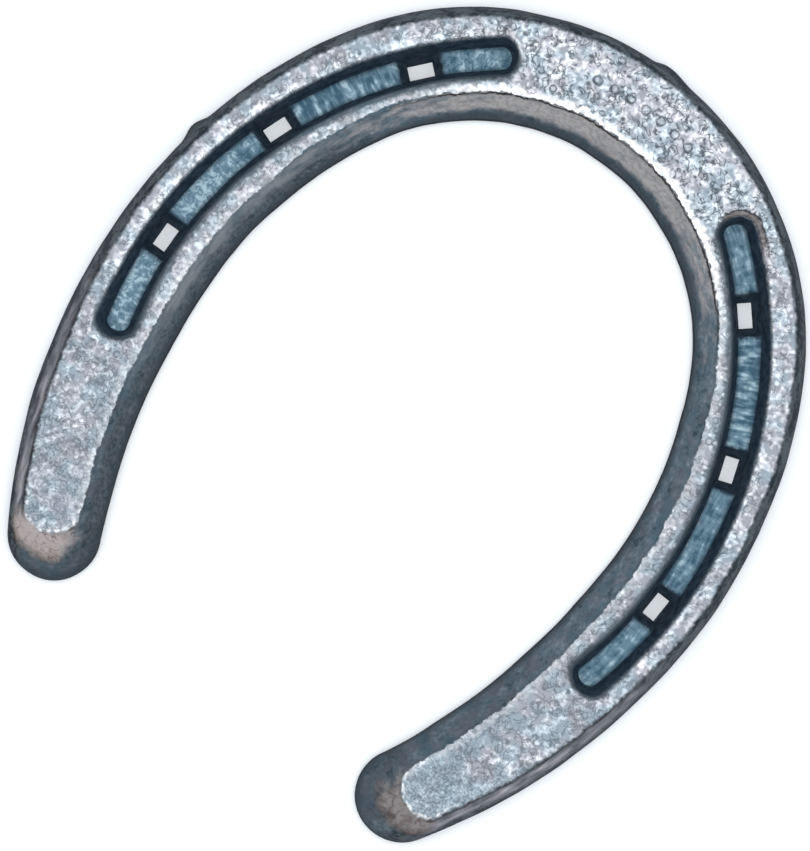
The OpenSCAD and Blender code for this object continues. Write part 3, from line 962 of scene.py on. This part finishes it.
# ---------------------------------------------------------------- the crease's steel
def crease_steel(g):
    """Blued crease: near-black walls and nail seats, blued steel and painted shade, and a teal floor.
    Returns colour and height.
    """
    bars = g.drawn(0.95, 3.5, 1.0, 71)
    cloud = g.noise(1.6, 2.0, 0.6, shift=77)
    # The walls' near-black is partly blued steel and partly painted shade. It is lighter where the inner
    # wall rounds over at its top.
    rounded = g.all_of(g.ramp(g.across, 0.5, -1.5), g.ramp(g.z, 6.2, 7.6))
    wall = g.mix(rounded, g.two_tone(cloud, *WALL_BLUE_AND_SHADE), WALL_EDGE)
    # Punch chatter crosses the floor between the first two holes. The rest is streaked along the crease on
    # the right, and curled on the left.
    ticks = g.all_of(g.ramp(g.distance, 43.0, 46.0, 0.25, 1.0), g.ramp(g.distance, 60.0, 68.0, 1.0, 0.35))
    curls = g.noise(1.2, 2.0, 0.6, twist=1.4, shift=66)
    strokes = g.blend(g.by_side(0.0, 1.0), curls, g.drawn(3.2, 0.7, 2.0, 37))
    value = g.blend(ticks, g.spread(strokes, 0.0, 1.0), g.ramp(bars, 0.36, 0.66))
    value = g.add(g.all_of(value, 0.75), g.spread(cloud, -0.15, 0.27))
    value = g.add(value, g.ramp(g.along, -66.0, -86.0, 0.01, 0.19))
    # Towards its edges the floor takes the walls' dark colour, painted shade where it meets the walls. The
    # nail seats keep the walls' colour.
    from_hole = g.add(g.attribute("from_hole"), g.spread(cloud, -0.15, 0.15))
    off_middle = g.add(g.math("ABSOLUTE", g.across), g.spread(cloud, -0.2, 0.2))
    on_floor = g.all_of(g.ramp(g.z, 3.35, 3.12), g.ramp(from_hole, 3.5, 4.5))
    on_floor = g.all_of(on_floor, g.ramp(off_middle, 2.1, 1.2, 0.3, 1.0))
    return g.mix(on_floor, wall, g.shades(value, *FLOOR_TEAL)), g.all_of(g.add(cloud, bars), 0.05)


# ---------------------------------------------------------------- the whole material
def on_ground_face(g):
    """1 on the ground face. Its edge is a ragged line, worn back a little on the left of the toe."""
    ragged = g.less(g.noise(0.9, 2.0, shift=3), 0.5)
    ragged = g.all_of(ragged, g.ramp(g.in_mouth, -1.5, -0.5, 1.0, 0.25))
    worn = g.all_of(g.ramp(g.along, -38.0, -46.0), g.ramp(g.along, -74.0, -62.0))
    worn = g.all_of(worn, g.ramp(g.from_inner, 4.0, 3.0))
    inset = g.less(g.add(g.inset, ragged), g.all_of(worn, 0.45))
    softness = g.ramp(g.from_inner, 6.0, 8.0, 0.12, 0.34)
    return g.ramp(g.math("DIVIDE", inset, softness), -1.0, 1.0)


def forged_steel():
    g = Graph("steel")
    facing = g.tree.nodes.new("ShaderNodeTexCoord").outputs["Normal"]
    hoof = g.ramp(g.split(facing, "Z"), -0.8, -0.9)
    shiny = g.largest(on_ground_face(g), hoof)
    in_crease_zone = g.ramp(g.in_mouth, -0.1, 0.1)
    bright, bright_height = ground_face(g)
    bright = g.mix(hoof, crease_shoulder(g, bright), hoof_face(g))
    scale, scale_height = bevel_scale(g)
    crease, crease_height = crease_steel(g)
    colour = g.mix(shiny, g.mix(in_crease_zone, scale, crease), bright)
    height = g.blend(shiny, g.blend(in_crease_zone, scale_height, crease_height), bright_height)
    bump = g.tree.nodes.new("ShaderNodeBump")
    bump.inputs["Distance"].default_value = MM
    g.set(bump.inputs["Height"], height)
    g.set(g.shader.inputs["Normal"], bump.outputs["Normal"])
    g.set(g.shader.inputs["Base Color"], colour)
    g.set(g.shader.inputs["Metallic"], g.blend(shiny, 0.0, 0.65))
    g.set(g.shader.inputs["Roughness"], g.blend(shiny, 0.7, 0.42))
    g.shader.inputs["Specular IOR Level"].default_value = 0.03
    return g.material


shoe = build_shoe()
shoe.data.materials.append(forged_steel())
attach(shoe, "root")
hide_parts("horseshoe")


# ---------------------------------------------------------------- floor, lights and camera, in metres
FLOOR_HALF = 1.5
FLOOR_DROP = 0.00002
FLOOR_WHITE = (0.86, 0.87, 0.88, 1)
FLOOR_CORNERS = ((-1, -1), (1, -1), (1, 1), (-1, 1))
STUDIO_BLUE = (0.80, 0.87, 0.93, 1)
STUDIO_STRENGTH = 0.9
SOFTBOX_SIZE = 1.8
SOFTBOX_HEIGHT = 1.2
SOFTBOX_WATTS = 17.2
CAMERA_AT = (-0.00045, -0.0084, 0.700)
CAMERA_TURN = 37.02
SEEN_HEIGHT = 0.14718  # what the picture shows of the floor, from top to bottom


def make_floor():
    mesh = bpy.data.meshes.new("floor")
    corners = [(x * FLOOR_HALF, y * FLOOR_HALF, 0) for x, y in FLOOR_CORNERS]
    mesh.from_pydata(corners, [], [(0, 1, 2, 3)])
    floor = bpy.data.objects.new("floor", mesh)
    floor.location.z = -FLOOR_DROP
    bpy.context.scene.collection.objects.link(floor)
    mat = bpy.data.materials.new("white_floor")
    mat.use_nodes = True
    shader = mat.node_tree.nodes["Principled BSDF"]
    shader.inputs["Base Color"].default_value = FLOOR_WHITE
    shader.inputs["Roughness"].default_value = 0.8
    mesh.materials.append(mat)


def make_softbox():
    """A wide square light straight above, which shines down."""
    data = bpy.data.lights.new("softbox", "AREA")
    data.shape = "RECTANGLE"
    data.size = data.size_y = SOFTBOX_SIZE
    data.energy = SOFTBOX_WATTS
    lamp = bpy.data.objects.new("softbox", data)
    lamp.location.z = SOFTBOX_HEIGHT
    bpy.context.scene.collection.objects.link(lamp)


def make_studio():
    """Pale blue light from all round."""
    world = bpy.data.worlds.new("studio")
    bpy.context.scene.world = world
    world.use_nodes = True
    background = world.node_tree.nodes["Background"]
    background.inputs["Color"].default_value = STUDIO_BLUE
    background.inputs["Strength"].default_value = STUDIO_STRENGTH


def make_camera():
    """Straight above, turned as the photo is."""
    data = bpy.data.cameras.new("camera")
    data.lens = data.sensor_width * CAMERA_AT[2] / SEEN_HEIGHT
    data.clip_start, data.clip_end = 0.01, 10
    camera = bpy.data.objects.new("camera", data)
    camera.location = CAMERA_AT
    camera.rotation_euler = Euler((0, 0, math.radians(CAMERA_TURN)))
    bpy.context.scene.collection.objects.link(camera)
    bpy.context.scene.camera = camera


make_floor()
make_softbox()
make_studio()
make_camera()
bpy.context.scene.view_settings.view_transform = "Standard"
